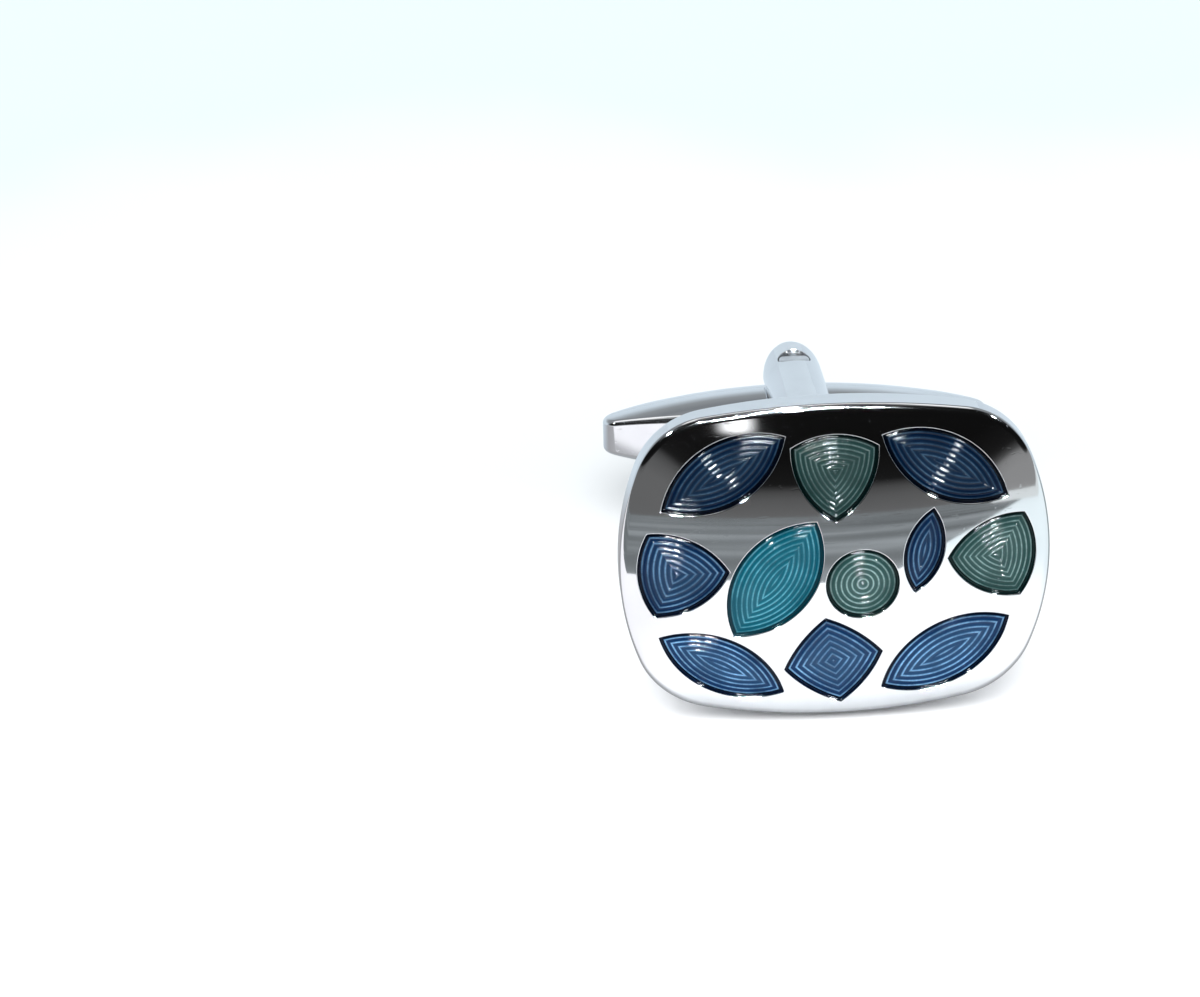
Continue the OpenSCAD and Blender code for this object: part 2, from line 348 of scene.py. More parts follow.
def barrel(flat, along, across, top):
    """A face that curves with one radius along x and another across it, up to top, and its normal."""
    x, y = flat.T
    w = np.sqrt(across * across - y * y)
    rho = along - across + w
    s = np.sqrt(rho * rho - x * x)
    return level(flat, s - along + top), unit(columns(x / s, rho * y / (s * w), 1))


def rolled_edge(skin, flat, out, inset, drop, surface, steps):
    """Rings from a crowned surface over its rounded edge and onto the upright wall.

    In the upright plane through out, the edge is a curve with the control points p0, p1, p2 and p3.
    Gives all rings and the heights of the last one.
    """
    start, normal = surface(flat - out * inset)
    along = np.sum(normal[:, :2] * out, 1)
    corner = columns(0, start[:, 2] - inset * along / normal[:, 2])
    p0 = columns(-inset, start[:, 2])
    p3 = corner - np.array([0, drop])
    p1, p2 = p0 + (corner - p0) * EDGE_FULLNESS, p3 + (corner - p3) * EDGE_FULLNESS
    side = normal - level(out * along[:, None], normal[:, 2])
    rings = []
    for t in np.linspace(0, 1, steps + 1):
        s = 1 - t
        q = s**3 * p0 + 3 * t * s**2 * p1 + 3 * t * t * s * p2 + t**3 * p3
        v = unit(s**2 * (p1 - p0) + 2 * t * s * (p2 - p1) + t * t * (p3 - p2))
        co = level(flat + out * q[:, :1], q[:, 1])
        rings.append(skin.add(co, level(out * -v[:, 1:], v[:, 0]) + side * s**2))
    return rings, p3[:, 1]


def round_under(skin, flat, out, r, steps):
    """Rings from an upright wall round a small edge and under it, to height 0."""
    rings = []
    for t in quarter(steps):
        co = level(flat - out * (r - r * cos(t)), r - r * sin(t))
        rings.append(skin.add(co, level(out * cos(t), -sin(t))))
    return rings


def hole_edge(skin, flat, out, r, surface, steps):
    """Rings from a surface over a hole's small round edge to its wall. out points into the metal."""
    _, normal = surface(flat + out * r)
    rings = []
    for t in quarter(steps):
        co, _ = surface(flat + out * (r - r * sin(t)))
        co[:, 2] -= r - r * cos(t)
        rings.append(skin.add(co, normal * cos(t) + level(-out, 0) * sin(t)))
    return rings


# Head


def dome(flat, depth=0.0):
    """The front dome or, with a depth, the face that lies as far below it, and its normal."""
    return barrel(flat, DOME_RX - depth, DOME_RY - depth, HEAD_T - depth)


def head_outline():
    """The head's outline: four wide arcs and four corner arcs that are tangent to them."""
    cx, cy = HEAD_W / 2 - CORNER_R - SIDE_BOW, HEAD_H / 2 - CORNER_R - LONG_BOW
    side_r, long_r = arc_r(cy, CORNER_R, SIDE_BOW), arc_r(cx, CORNER_R, LONG_BOW)
    side_c, long_c = HEAD_W / 2 - side_r, HEAD_H / 2 - long_r
    a, b = atan2(cy, cx - side_c), atan2(cy - long_c, cx)
    side, corner = np.linspace(0, a, 14, endpoint=False), np.linspace(a, b, 30, endpoint=False)
    t, sign = folded(all_round(np.concatenate([side, corner, np.linspace(b, pi / 2, 20)])))
    way = ways(t)
    which = np.where(t < a, 0, np.where(t < b, 1, 2))
    centres = np.array([(side_c, 0), (cx, cy), (0, long_c)])[which]
    radii = np.array([side_r, CORNER_R, long_r])[which]
    return (centres + way * radii[:, None]) * sign, way * sign


class Cell:
    """One cell: a disc, or the space that several equal discs share.

    Its offset curves keep their sharp corners. u is its place up the head in the pattern's unit.
    """

    def __init__(self, arcs, x, u, turn, corner, belly):
        self.u = u
        self.centre = np.array([x, u]) * PATTERN_UNIT
        corner, self.belly = corner * PATTERN_UNIT, belly * PATTERN_UNIT
        step = pi / arcs
        near, half_chord = corner * cos(step), corner * sin(step)
        self.r = self.belly if arcs == 1 else chord_r(half_chord, self.belly - near)
        self.offset = self.belly - self.r
        half = pi if arcs == 1 else atan2(half_chord, near - self.offset)
        count = CELL_POINTS // arcs
        sweep = np.linspace(-half, half, count, endpoint=False)
        lean = np.arctan2(self.r * np.sin(sweep), self.offset + self.r * np.cos(sweep))
        middles = [radians(turn) + step + 2 * step * i for i in range(arcs)]
        self.way = np.repeat(middles, count)
        self.ray = np.concatenate([way + lean for way in middles])
        self.corners = np.zeros(len(self.ray), bool)
        if arcs > 1:
            self.corners[::count] = True

    def ring(self, inset):
        """The offset curve's points and the directions out of it."""
        lean = self.ray - self.way
        near = self.offset * np.cos(lean)
        reach = near + np.sqrt(np.maximum((self.r - inset) ** 2 - (self.offset * np.sin(lean)) ** 2, 0))
        ray = ways(self.ray)
        flat = ray * reach[:, None]
        out = unit(flat - ways(self.way) * self.offset)
        out[self.corners] = ray[self.corners]
        return flat + self.centre, out


def cell_hollow(skin, cell):
    """A cell's small round lip, its wall and its floor. Gives the lip's outer ring as a loop for fill()."""
    lips = []
    # The corners of an offset curve lie on the same ray, so the lip's outer ring is an offset curve too
    for t in quarter(4):
        place, way = cell.ring(LIP_R * sin(t) - LIP_R)
        co, no = dome(place)
        co[:, 2] -= LIP_R * (1 - cos(t))
        lips.append(skin.add(co, no * cos(t) - level(way, 0) * sin(t)))
    foot = skin.add(*dome(cell.ring(0)[0], CELL_DEPTH))
    skin.chain(lips + [foot])
    skin.fan(foot, *dome(cell.centre[None], CELL_DEPTH))
    return lips[0], cell.ring(-LIP_R)[0]


def make_head(material):
    """The domed front with its cells, the rolled rim, the side wall and the back with the post's seat."""
    skin = Skin(OUT_OF_FACE)
    flat, out = head_outline()
    rim, height = rolled_edge(skin, flat, out, RIM_INSET, RIM_DROP, dome, 9)
    low = round_under(skin, flat, out, BACK_EDGE, 5)
    middle = skin.add(level(flat, (height + BACK_EDGE) / 2), level(out, 0))
    skin.chain(rim + [middle] + low)
    loops = [(rim[0], flat - out * RIM_INSET)]
    for _, *shape, _ in CELLS:
        loops.append(cell_hollow(skin, Cell(*shape)))
    skin.fill(loops, dome, FRONT_GRID)
    seat, seat_out = ring_of(FOOT_D / 2 + SEAT_GAP, BORE_POINTS)
    top = skin.add(*underside(seat))
    edge = skin.add(level(seat, SEAT_EDGE), level(-seat_out, -1))
    deep = skin.add(level(seat, FOOT_SEAT), level(-seat_out, 0))
    skin.chain([top, edge, deep])
    skin.fan(deep, (0, 0, FOOT_SEAT), (0, 0, -1))
    skin.fill([(low[-1], flat - out * BACK_EDGE), (top, seat)], underside, BACK_GRID)
    skin.build("head_polished", material, "link", "head")


# Enamel

# Insets of the rings where the enamel climbs the wall, and how far below the first its upright side ends
WALL_INSETS = [0, 0.012, 0.025, 0.04, 0.06, 0.085]
SIDE_DROP = 0.004
# Share of the spacing that a ridge reaches to each side
RIDGE_REACH = 0.46
# How much painted shade darkens each enamel at the top of the head, and from where and over what rise the
# painted shade grows
PAINTED_SHADE = {"enamel_blue": 0.7, "enamel_green": 0.58, "enamel_teal": 0}
SHADE_FROM, SHADE_RISE = -0.62, 1.2


def ridge_profile(belly, spacing):
    """Insets of an enamel's rings, with the depth, its slope and the share of a ridge at each."""
    count = max(1, round((belly - FIRST_RIDGE) / spacing))
    spacing = (belly - FIRST_RIDGE) / count
    crests = FIRST_RIDGE + spacing * np.arange(count + 1)
    insets = np.unique(np.concatenate([WALL_INSETS, np.linspace(0.1, belly, 10 * count + 8)]))

    def share(at):
        reach = np.min(np.abs(at[:, None] - crests), 1) / (RIDGE_REACH * spacing)
        return 0.5 + 0.5 * np.cos(pi * np.clip(reach, 0, 1))

    def depth(at):
        rise = np.clip(at / SWELL_REACH, 0, 1)
        climb = np.clip(1 - at / CLIMB_REACH, 0, 1)
        return BED - RIDGE_H * share(at) - SWELL_H * rise * rise * (3 - 2 * rise) - CLIMB_H * climb**2

    tiny = 1e-4
    slope = (depth(insets + tiny) - depth(insets - tiny)) / (2 * tiny)
    slope[-1] = 0
    return insets, depth(insets), slope, share(insets)


def make_enamel(row, material, slot):
    """Fills a cell. A point carries its share of a ridge, its distance from the wall and the cell's painted
    light.
    """
    node, *shape, spacing = row
    cell = Cell(*shape)
    # Painted shade: cells higher up the head are painted darker
    tone = 1 - PAINTED_SHADE[slot] * min(max((cell.u - SHADE_FROM) / SHADE_RISE, 0), 1)
    skin = Skin(OUT_OF_FACE)
    insets, depths, slopes, shares = ridge_profile(cell.belly, spacing)
    flat, out = cell.ring(0)
    base, sides = CELL_DEPTH - SEAT_GAP, level(out, 0)
    plain = {"ridge": 0, "rim": 0, "tone": tone}
    rings = [skin.add(dome(flat, depth)[0], sides, **plain) for depth in (base, depths[0] + SIDE_DROP)]
    middle, up = dome(cell.centre[None], base)
    skin.fan(rings[0], middle, -up, **plain)
    for inset, depth, slope, share in zip(insets[:-1], depths, slopes, shares):
        place, way = cell.ring(inset)
        co, no = dome(place, depth)
        no = no / no[:, 2:] - level(way * slope, 0)
        rings.append(skin.add(co, no, ridge=share, rim=inset, tone=tone))
    skin.chain(rings)
    skin.fan(rings[-1], *dome(cell.centre[None], depths[-1]), ridge=1, rim=insets[-1], tone=tone)
    skin.build(node + "_ridged", material, "link", node)


# Post, pin and fork


def lathe(skin, profile, n):
    """Turns a profile of (radius, height, normal out, normal along) round the local third axis.

    Where the radius is 0, the ring's points weld into one.
    """
    rings = []
    for r, h, normal_out, normal_along in profile:
        flat, out = ring_of(r, n)
        rings.append(skin.add(level(flat, h), level(out * normal_out, normal_along)))
    skin.chain(rings)


def arc(centre_r, centre_h, r, start, end, steps, hollow=False):
    """Part of a profile: an arc between two angles, in degrees from the outward direction."""
    sign = -1 if hollow else 1
    rows = []
    for t in np.radians(np.linspace(start, end, steps + 1)):
        c, s = cos(t), sin(t)
        rows.append((centre_r + r * c, centre_h + r * s, sign * c, sign * s))
    return rows


def make_stem(material):
    """The foot with its round edge, the waisted shaft, and the rivet's head inside the fork's bend."""
    skin = Skin(ALONG_POST)
    foot, foot_h = FOOT_D / 2, SEAT_GAP - FOOT_SEAT
    bead = (FOOT_T + FOOT_SEAT) / 2
    bead_h = bead - FOOT_SEAT
    waist_h = (FOOT_T + STEM_L) / 2
    waist_r = chord_r(STEM_L - waist_h, (FLARE_D - WAIST_D) / 2)
    reach = degrees(asin((STEM_L - waist_h) / waist_r))
    hidden, rivet = STEM_L + FLARE_SINK, TENON_D / 2
    wall_h, shoulder_h, top_h = (BEND_P - SLOT_R + rise for rise in RIVET_RISES)
    profile = [(0, foot_h, 0, -1), (foot, foot_h, 1, -1), (foot, -SEAT_GAP, 1, 0)]
    profile += arc(foot - bead, bead_h, bead, -degrees(asin(bead_h / bead)), 60, 20)
    profile += arc(WAIST_D / 2 + waist_r, waist_h, waist_r, 180 + reach, 180 - reach, 40, hollow=True)
    profile += [(FLARE_D / 2, hidden, 1, 1), (rivet, hidden, 1, 1), (rivet, wall_h, 1, 0)]
    profile += arc(rivet - RIVET_EDGE, wall_h, RIVET_EDGE, 0, 70, 4)
    profile += [(rivet / 2, shoulder_h, 0.2, 1), (0, top_h, 0, 1)]
    lathe(skin, profile, 80)
    skin.build("post_turned", material, "link", "post_stem")


def make_pin(material):
    """The pin, with peened ends that nearly fill their recesses."""
    skin = Skin(upright(), (0, PIVOT_P, 0))
    r, cap = PIN_D / 2 - PIN_FIT, RECESS_D / 2 - CAP_GAP
    under, top_h = ARM_TOP - RECESS_DEPTH + CAP_LIFT, ARM_TOP - CAP_SINK
    crown_r = chord_r(cap - CAP_EDGE, CAP_BULGE)
    reach = degrees(asin((cap - CAP_EDGE) / crown_r))
    top = [(r, under, 1, -1), (cap, under, 1, -1)]
    top += arc(cap - CAP_EDGE, top_h - CAP_BULGE - CAP_EDGE, CAP_EDGE, 0, 75, 6)
    top += arc(0, top_h - crown_r, crown_r, 90 - reach, 90, 8)[:-1]
    top += [(0, top_h, 0, 1)]
    bottom = [(a, -b, c, -d) for a, b, c, d in top[::-1]]
    lathe(skin, bottom + [(r, 0, 1, 0)] + top, 56)
    skin.build("pivot_pin_domed", material, "link", "pivot_pin")


def flat_inside():
    """Places across the flat inside of an arm, between its small edges."""
    return np.linspace(ARM_EDGE - ARM_R, ARM_R - ARM_EDGE, FLAT_POINTS)[1:-1]


def strap_section():
    """The strap's section, across and out: a closed loop of its outside, small edges and flat inside."""
    a = np.linspace(-pi / 2, pi / 2, STRAP_POINTS)
    t = quarter(4)[1:]
    right = columns(np.cos(t), -np.sin(t))
    left = right[::-1] * np.array([-1, 1])
    x = flat_inside()[::-1]
    flat = [
        columns(ARM_R * np.sin(a), ARM_SIDE + ARM_R * np.cos(a)),
        right * ARM_EDGE + np.array([ARM_R - ARM_EDGE, ARM_EDGE]),
        columns(x, 0),
        left * ARM_EDGE + np.array([ARM_EDGE - ARM_R, ARM_EDGE]),
    ]
    out = [columns(np.sin(a), np.cos(a)), right, columns(0 * x, -1), left]
    return np.concatenate(flat), np.concatenate(out)


def make_fork(material):
    """The bent strap: two straight arms, the bend between them, and the arms' round ends."""
    skin = Skin(upright())
    (x, h), (nx, nh) = (part.T for part in strap_section())
    join = PIVOT_P - ARM_END

    def station(place, turn):
        """A ring of the strap: on the upper arm at turn 0, and on the lower arm at half a turn."""
        c, s = cos(turn), sin(turn)
        co = columns(x, place - (SLOT_R + h) * s, (SLOT_R + h) * c)
        return skin.add(co, columns(nx, -nh * s, nh * c))

    straight = np.linspace(join, BEND_P, 6)[:-1]
    rings = [station(place, 0) for place in straight]
    rings += [station(BEND_P, turn) for turn in np.linspace(0, pi, 57)]
    rings += [station(place, pi) for place in straight[::-1]]
    skin.chain(rings)
    for side in (1, -1):
        skin.set_frame(upright(side), (0, 0, side * SLOT_R))
        arm_end(skin, join)
    skin.build("fork_bent", material, "link", "fork")


def unroll(flat):
    """Unrolls places on the arm's round outside, seen from above: arc length across, then along."""
    return columns(ARM_R * np.arcsin(np.clip(flat[:, 0] / ARM_R, -1, 1)), flat[:, 1])


def arm_surface(unrolled):
    """The arm's round outside and its normal, at unrolled places."""
    a = unrolled[:, 0] / ARM_R
    co = columns(ARM_R * np.sin(a), unrolled[:, 1], ARM_SIDE + ARM_R * np.cos(a))
    return co, columns(np.sin(a), 0, np.cos(a))


def arm_from_above(flat):
    return arm_surface(unroll(flat))


def arm_end(skin, join):
    """The round end of one arm, with the pin's recess and hole. Local axes: across, along and out."""
    nose_p = POST_L - ARM_R
    # Perimeter: up the right side, round the nose and back down the left side
    straight = np.linspace(join, nose_p, 9)[:-1]
    right, left = columns(ARM_R, straight), columns(-ARM_R, straight[::-1])
    b = np.linspace(pi / 2, -pi / 2, 49)
    nose_out = columns(np.sin(b), np.cos(b))
    nose = nose_out * ARM_R + np.array([0, nose_p])
    # Edge between the round outside and the upright nose, a curve with the control points p0, p1 and p2
    size = NOSE_EDGE * np.cos(b)
    inner = unroll(nose - nose_out * size[:, None])
    p0, n0 = arm_surface(inner)
    top_h = ARM_SIDE + ARM_R * np.cos(b)
    p1, p2, n2 = level(nose, top_h), level(nose, top_h - size), level(nose_out, 0)
    steps = []
    for t in np.linspace(0, 1, 6):
        steps.append(skin.add((1 - t) ** 2 * p0 + 2 * t * (1 - t) * p1 + t * t * p2, n0 * (1 - t) + n2 * t))
    # The upright nose, down to the inner edge
    for t in (0.35, 0.7, 1):
        height = np.minimum((top_h - size) * (1 - t) + ARM_SIDE * t, top_h)
        steps.append(skin.add(level(nose, height), n2))
    skin.chain(steps, closed=False)
    # Outside, with the recess, whose wall's foot stands a hair inside the floor's rim
    pivot = (0, PIVOT_P)
    recess, recess_out = ring_of(RECESS_D / 2, RECESS_POINTS, pivot)
    foot, _ = ring_of(RECESS_D / 2 * FOOT_SHARE, RECESS_POINTS, pivot)
    hole, _ = ring_of(PIN_D / 2, RECESS_POINTS, pivot)
    root = np.linspace(-pi / 2, pi / 2, STRAP_POINTS)[1:-1] * ARM_R
    flat = np.concatenate([unroll(right), inner, unroll(left), columns(root, join)])
    ids = skin.add(*arm_surface(flat))
    lips = hole_edge(skin, recess, recess_out, RECESS_LIP, arm_from_above, 3)
    floor_h = ARM_T - RECESS_DEPTH
    wall, bent = level(-recess_out, 0), level(-recess_out, 1)
    under = skin.add(level(hole, 0), level(-recess_out, -1))
    walls = [skin.add(level(recess, floor_h + FOOT_BAND), wall), skin.add(level(foot, floor_h), bent)]
    skin.chain(lips + walls)
    skin.chain([skin.add(level(recess, floor_h), bent), skin.add(level(hole, floor_h), bent), under])
    skin.fill([(ids, flat), (lips[0], unroll(recess + recess_out * RECESS_LIP))], arm_surface, ARM_GRID)
    # Small edge round the flat inside, and the inside with the pin's hole
    around = np.concatenate([right, nose, left])
    around_out = np.concatenate([columns(1, 0 * straight), nose_out, columns(-1, 0 * straight)])
    skin.chain(round_under(skin, around, around_out, ARM_EDGE, 4), closed=False)
    flat = np.concatenate([around - around_out * ARM_EDGE, columns(flat_inside(), join)])
    skin.fill([(skin.add(*underside(flat)), flat), (under, hole)], underside, INSIDE_GRID)


# Toggle bar


def crown(flat):
    """The bar's crowned top over its middle plane, and its normal."""
    return barrel(flat, CROWN_RX, CROWN_RY, BAR_H / 2)


def bar_outline():
    """The bar's outline: two wide arcs and two tip arcs that are tangent to them."""
    tip_x = BAR_L / 2 - TIP_R
    edge_r = (tip_x**2 + (BAR_D / 2) ** 2 - TIP_R**2) / (BAR_D - 2 * TIP_R)
    edge_c = BAR_D / 2 - edge_r
    a = atan2(-edge_c, tip_x)
    first = np.concatenate([np.linspace(0, a, 16, endpoint=False), np.linspace(a, pi / 2, 34)])
    t, sign = folded(all_round(first))
    way = ways(t)
    tip = (t < a)[:, None]
    flat = np.where(tip, np.array([tip_x, 0]) + way * TIP_R, np.array([0, edge_c]) + way * edge_r)
    return flat * sign, way * sign


def make_bar(material):
    """The bar: the same crown, edge and washer's pocket above and below, the side band and the bore."""
    skin = Skin(upright())
    flat, out = bar_outline()
    pocket, pocket_out = ring_of(WASHER_D / 2 + WASHER_CLEAR, BORE_POINTS)
    bore, _ = ring_of(PIN_D / 2 + PIN_CLEAR, BORE_POINTS)
    bent = level(-pocket_out, 1)
    bands, bores = [], []
    for side in (1, -1):
        skin.set_frame(upright(side), (0, PIVOT_P, 0))
        rings, _ = rolled_edge(skin, flat, out, BAR_INSET, BAR_DROP, crown, 8)
        skin.chain(rings)
        bands.append(rings[-1])
        lips = hole_edge(skin, pocket, pocket_out, POCKET_LIP, crown, 2)
        floor = skin.add(level(pocket, POCKET_FLOOR), bent)
        bores.append(skin.add(level(bore, POCKET_FLOOR), bent))
        skin.chain(lips + [floor, bores[-1]])
        loops = [(rings[0], flat - out * BAR_INSET), (lips[0], pocket + pocket_out * POCKET_LIP)]
        skin.fill(loops, crown, CROWN_GRID)
    skin.chain(bands)
    skin.chain(bores)
    skin.build("toggle_crowned", material, "toggle", "toggle_bar")


# Materials. The scale of a noise is a count to the metre.


class Nodes:
    """Short calls for building a node tree."""

    def __init__(self, tree):
        self.tree = tree
        tree.nodes.clear()

    def new(self, kind, **settings):
        """A new node. A setting that starts with in_ is the value of an input."""
        made = self.tree.nodes.new(kind)
        for key, value in settings.items():
            if key.startswith("in_"):
                made.inputs[key[3:].replace("_", " ")].default_value = value
            else:
                setattr(made, key, value)
        return made

    def link(self, a, b):
        self.tree.links.new(a, b)

    def show(self, shader, output="ShaderNodeOutputMaterial"):
        """Ends the tree with a shader."""
        self.link(shader.outputs[0], self.new(output).inputs["Surface"])

    def coordinate(self, kind="Object"):
        return self.new("ShaderNodeTexCoord").outputs[kind]

    def split(self, vector):
        """The X, Y and Z of a vector."""
        made = self.new("ShaderNodeSeparateXYZ")
        self.link(vector, made.inputs[0])
        return tuple(made.outputs)

    def feed(self, socket, value):
        """Gives a socket a number, a colour or the output of a node."""
        if isinstance(value, tuple):
            socket.default_value = (*value, 1)
        elif isinstance(value, (int, float)):
            socket.default_value = value
        else:
            self.link(value, socket)

    def math(self, operation, a, b):
        made = self.new("ShaderNodeMath", operation=operation)
        self.feed(made.inputs[0], a)
        self.feed(made.inputs[1], b)
        return made.outputs[0]

    def spread(self, value, low, high, to_low=0.0, to_high=1.0):
        """Brings a value from one range to another, smoothly, and holds it there at both ends."""
        ends = {"in_From_Min": low, "in_From_Max": high, "in_To_Min": to_low, "in_To_Max": to_high}
        made = self.new("ShaderNodeMapRange", interpolation_type="SMOOTHSTEP", **ends)
        self.link(value, made.inputs["Value"])
        return made.outputs[0]

    def mix(self, share, a, b):
        made = self.new("ShaderNodeMix", data_type="RGBA")
        self.link(share, made.inputs["Factor"])
        first, second = (socket for socket in made.inputs if socket.type == "RGBA")
        self.feed(first, a)
        self.feed(second, b)
        return next(socket for socket in made.outputs if socket.type == "RGBA")

    def noise(self, where, scale, detail=2.0, rough=0.5):
        made = self.new("ShaderNodeTexNoise", in_Scale=scale, in_Detail=detail, in_Roughness=rough)
        self.link(where, made.inputs["Vector"])
        return made.outputs["Fac"]

    def streaks(self, where, scale, turn=(0, 0, 0)):
        """Noise that is stretched by a scale of its own for each axis, and turned."""
        made = self.new("ShaderNodeMapping", in_Scale=scale, in_Rotation=turn)
        self.link(where, made.inputs["Vector"])
        return self.noise(made.outputs[0], 1.0)

    def bump(self, shader, height, strength, distance):
        """Gives a shader a surface relief, distance deep in metres."""
        made = self.new("ShaderNodeBump", in_Strength=strength, in_Distance=distance)
        self.link(height, made.inputs["Height"])
        self.link(made.outputs[0], shader.inputs["Normal"])

    def ramp(self, value, stops):
        """A colour or a grey for each value."""
        made = self.new("ShaderNodeValToRGB")
        elements = made.color_ramp.elements
        while len(elements) > 1:
            elements.remove(elements[-1])
        for k, (at, color) in enumerate(stops):
            element = elements[0] if k == 0 else elements.new(at)
            element.position = at
            element.color = (*color, 1) if isinstance(color, tuple) else (color, color, color, 1)
        self.link(value, made.inputs[0])
        return made.outputs[0]


def blank(name):
    """A material with nothing in it yet."""
    material = bpy.data.materials.new(name)
    material.use_nodes = True
    return material, Nodes(material.node_tree)


def new_material(name, **settings):
    """A material with one general shader, and the place on the piece as a node's output."""
    material, nodes = blank(name)
    shader = nodes.new("ShaderNodeBsdfPrincipled", **settings)
    nodes.show(shader)
    return material, nodes, shader, nodes.coordinate()


def plated(name, color, dull, rough, hair, bump):
    """Polished plating: a faint haze, fine hairlines from handling and a trace of waviness."""
    material, nodes, shader, place = new_material(name, in_Metallic=1.0)
    haze = nodes.noise(place, 260.0, 4.0, 0.6)
    nodes.link(nodes.mix(nodes.spread(haze, 0.35, 0.75), color, dull), shader.inputs["Base Color"])
    lines = nodes.streaks(place, (900.0, 5200.0, 5200.0), (0.2, 0.3, 0.9))
    cross = nodes.streaks(place, (5200.0, 900.0, 4200.0), (0.5, 0.1, 0.4))
    hairs = nodes.spread(nodes.math("MAXIMUM", lines, cross), 0.66, 0.78)
    soft = nodes.spread(haze, 0.3, 0.8, rough, rough * 1.8)
    nodes.link(nodes.math("ADD", soft, nodes.math("MULTIPLY", hairs, hair)), shader.inputs["Roughness"])
    wave = nodes.noise(place, 420.0, 1.0)
    nodes.bump(shader, nodes.math("SUBTRACT", wave, nodes.math("MULTIPLY", hairs, 0.3)), bump, 0.000004)
    return material


def brushed(name, color, dull, rough):
    """Plain steel: turning lines round the part and a duller, blotchy face."""
    material, nodes, shader, place = new_material(name, in_Metallic=1.0)
    blotch = nodes.noise(place, 900.0, 3.0, 0.6)
    nodes.link(nodes.mix(nodes.spread(blotch, 0.3, 0.7), color, dull), shader.inputs["Base Color"])
    lines = nodes.streaks(place, (1500.0, 1500.0, 14000.0))
    nodes.link(nodes.spread(lines, 0.2, 0.8, rough * 0.8, rough * 1.3), shader.inputs["Roughness"])
    nodes.bump(shader, lines, 0.3, 0.000004)
    return material


def enamel(name, deep, pale, dark):
    """Glossy enamel: deep between the ridges, pale on them and dark along the edge, partly painted shade of
    the wall.
    """
    material, nodes, shader, place = new_material(name, in_Specular_IOR_Level=0.14)
    carried = [nodes.new("ShaderNodeAttribute", attribute_name=key) for key in ("ridge", "rim", "tone")]
    ridge, rim, tone = (node.outputs["Fac"] for node in carried)
    cloud = nodes.noise(place, 480.0, 3.0, 0.55)
    grain = nodes.noise(place, 7000.0, 2.0, 0.6)
    # The ridges are narrow, uneven and fainter where the painted shade is darker
    patches, fade = nodes.spread(cloud, 0.36, 0.64, 0.32, 1.1), nodes.spread(tone, 0.2, 1.0, 0.5, 1.0)
    uneven = nodes.math("MULTIPLY", patches, fade)
    uneven = nodes.math("MULTIPLY", uneven, nodes.spread(grain, 0.3, 0.7, 0.7, 1.1))
    crest = nodes.math("MULTIPLY", nodes.math("POWER", ridge, 4.2), uneven)
    body = nodes.mix(nodes.spread(cloud, 0.25, 0.75), deep, tuple(v * 1.3 for v in deep))
    body = nodes.mix(nodes.spread(rim, 0.2, 1.1, 0.0, 0.08), body, pale)
    body = nodes.mix(crest, body, pale)
    # Dark along the wall: partly the enamel lying deepest there, partly painted shade of the wall
    body = nodes.mix(nodes.spread(rim, 0.13, 0.25, 1.0, 0.0), body, dark)
    # Painted shade: the cell's painted light darkens the colour towards black on the upper cells
    nodes.link(nodes.mix(tone, (0, 0, 0), body), shader.inputs["Base Color"])
    nodes.link(nodes.spread(grain, 0.2, 0.9, 0.02, 0.07), shader.inputs["Roughness"])
    nodes.bump(shader, nodes.noise(place, 8000.0, 1.5), 0.7, 0.000007)
    return material


METAL = (0.7, 0.71, 0.725)
HEAD_METAL = plated("rhodium_polished", METAL, (0.67, 0.68, 0.695), 0.035, 0.06, 0.25)
FITTING_METAL = plated("rhodium_fittings", METAL, (0.65, 0.66, 0.675), 0.05, 0.08, 0.4)
BAR_METAL = plated("rhodium_handled", METAL, (0.64, 0.65, 0.665), 0.055, 0.1, 0.45)
PIN_METAL = brushed("steel_pin", (0.66, 0.66, 0.67), (0.5, 0.5, 0.51), 0.2)
WASHER_METAL = brushed("steel_spring", (0.42, 0.42, 0.44), (0.3, 0.3, 0.32), 0.32)
ENAMELS = {
    "enamel_blue": enamel("enamel_blue", (0.0, 0.015, 0.058), (0.2, 0.43, 0.7), (0.0, 0.003, 0.012)),
    "enamel_green": enamel("enamel_green", (0.018, 0.058, 0.055), (0.34, 0.53, 0.52), (0.001, 0.01, 0.01)),
    "enamel_teal": enamel("enamel_teal", (0.001, 0.06, 0.09), (0.09, 0.34, 0.43), (0.0, 0.02, 0.03)),
}

make_head(HEAD_METAL)
for row in CELLS:
    slot = "_".join(row[0].split("_")[:2])
    make_enamel(row, ENAMELS[slot], slot)
make_stem(FITTING_METAL)
make_fork(FITTING_METAL)
make_pin(PIN_METAL)
make_bar(BAR_METAL)
for name in ("friction_washer_upper", "friction_washer_lower"):
    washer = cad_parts[name].data
    washer.materials.clear()
    washer.materials.append(WASHER_METAL)

# Camera: its place, its turns, and its focal length in pixels of a frame that is FRAME_PX wide

EYE = Vector((-17.6, -143.23, 100.9)) * MM
YAW, PITCH, ROLL = radians(2.89), radians(33.57), radians(-0.85)
FOCAL_PX, FRAME_PX, SENSOR_W = 3540, 1200, 36

ahead = Vector((sin(YAW) * cos(PITCH), cos(YAW) * cos(PITCH), -sin(PITCH)))
right = Vector((cos(YAW), -sin(YAW), 0))
up = right.cross(ahead)
right, up = right * cos(ROLL) + up * sin(ROLL), up * cos(ROLL) - right * sin(ROLL)
camera = placed("camera", bpy.data.cameras.new("camera"))
camera.matrix_world = Matrix.Translation(EYE) @ Matrix((right, up, -ahead)).transposed().to_4x4()
camera.data.sensor_width = SENSOR_W
camera.data.lens = SENSOR_W * FOCAL_PX / FRAME_PX
camera.data.clip_start = 0.005
camera.data.clip_end = 20
bpy.context.scene.camera = camera

